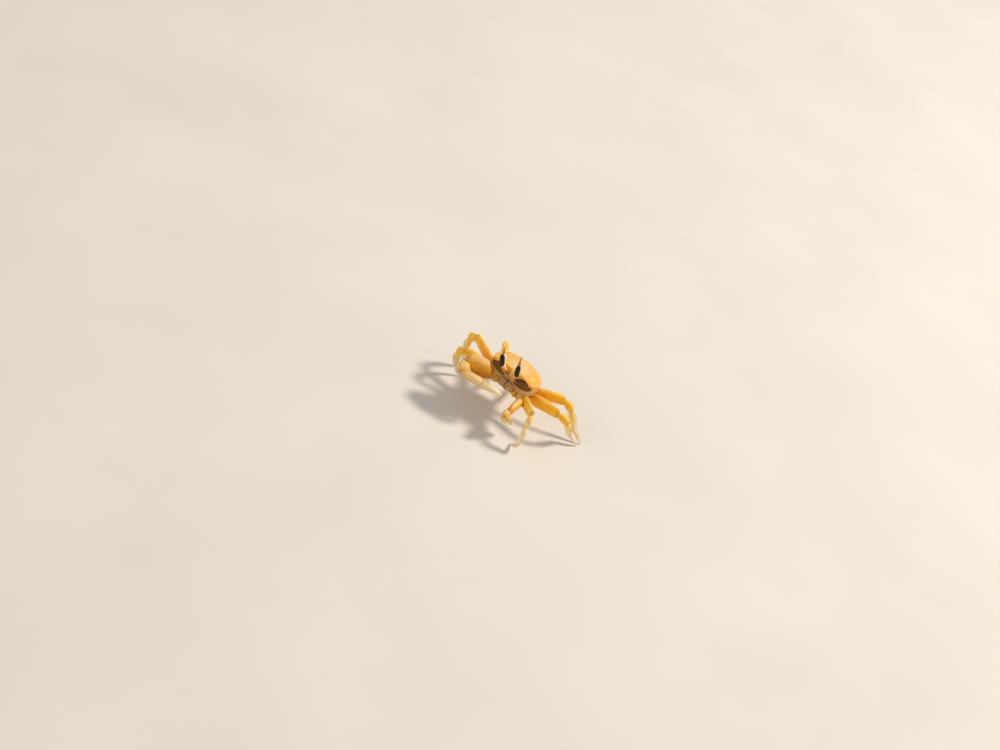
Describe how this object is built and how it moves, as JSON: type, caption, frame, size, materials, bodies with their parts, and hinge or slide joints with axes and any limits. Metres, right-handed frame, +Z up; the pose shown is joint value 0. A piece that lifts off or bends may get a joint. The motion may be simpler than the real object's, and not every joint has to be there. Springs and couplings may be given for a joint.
{
  "type": "ghost crab",
  "caption": "Still life-size ghost crab standing high on its walking legs, tall horned eyes up, large claw folded before the mouth.",
  "frame": {"origin": "centre of the plan box at floor level, under the middle of the body", "axes": "+X to the crab's left, -Y the way it faces, +Z up"},
  "size_m": [0.1221, 0.0981, 0.0704],
  "materials": {
    "carapace": "thin hard shell, satin, finely grained, straw yellow with a paler middle",
    "underside": "smooth pale tan shell of the breastplate and tail flap",
    "mouthparts": "tan to pinkish brown shell plates with darker joints",
    "eyestalk": "cream shell, orange at the root",
    "cornea": "smooth dark brown to black eye surface, glossy",
    "horn": "slender orange horn over the eye, semi-translucent",
    "leg": "orange-yellow satin shell, paler toward the foot",
    "claw": "straw yellow grained shell with pale fingers"
  },
  "bodies": {
    "root": {"carapace": "carapace", "thorax": "underside", "pleon": "underside", "mouth_frame": "underside", "maxilliped_left": "mouthparts", "eyestalk_left": "eyestalk", "cornea_left": "cornea", "horn_left": "horn", "antenna_left": "mouthparts", "maxilliped_right": "mouthparts", "eyestalk_right": "eyestalk", "cornea_right": "cornea", "horn_right": "horn", "antenna_right": "mouthparts", "leg_left_1_merus": "leg", "leg_left_1_carpus": "leg", "leg_left_1_propodus": "leg", "leg_left_1_dactyl": "leg", "leg_left_2_merus": "leg", "leg_left_2_carpus": "leg", "leg_left_2_propodus": "leg", "leg_left_2_dactyl": "leg", "leg_left_3_merus": "leg", "leg_left_3_carpus": "leg", "leg_left_3_propodus": "leg", "leg_left_3_dactyl": "leg", "leg_left_4_merus": "leg", "leg_left_4_carpus": "leg", "leg_left_4_propodus": "leg", "leg_left_4_dactyl": "leg", "leg_right_1_merus": "leg", "leg_right_1_carpus": "leg", "leg_right_1_propodus": "leg", "leg_right_1_dactyl": "leg", "leg_right_2_merus": "leg", "leg_right_2_carpus": "leg", "leg_right_2_propodus": "leg", "leg_right_2_dactyl": "leg", "leg_right_3_merus": "leg", "leg_right_3_carpus": "leg", "leg_right_3_propodus": "leg", "leg_right_3_dactyl": "leg", "leg_right_4_merus": "leg", "leg_right_4_carpus": "leg", "leg_right_4_propodus": "leg", "leg_right_4_dactyl": "leg", "claw_right_ischium": "claw", "claw_right_merus": "claw", "claw_right_carpus": "claw", "claw_right_palm": "claw", "claw_right_finger": "claw", "claw_left_ischium": "claw", "claw_left_merus": "claw", "claw_left_carpus": "claw", "claw_left_palm": "claw", "claw_left_finger": "claw"}
  },
  "joints": []
}
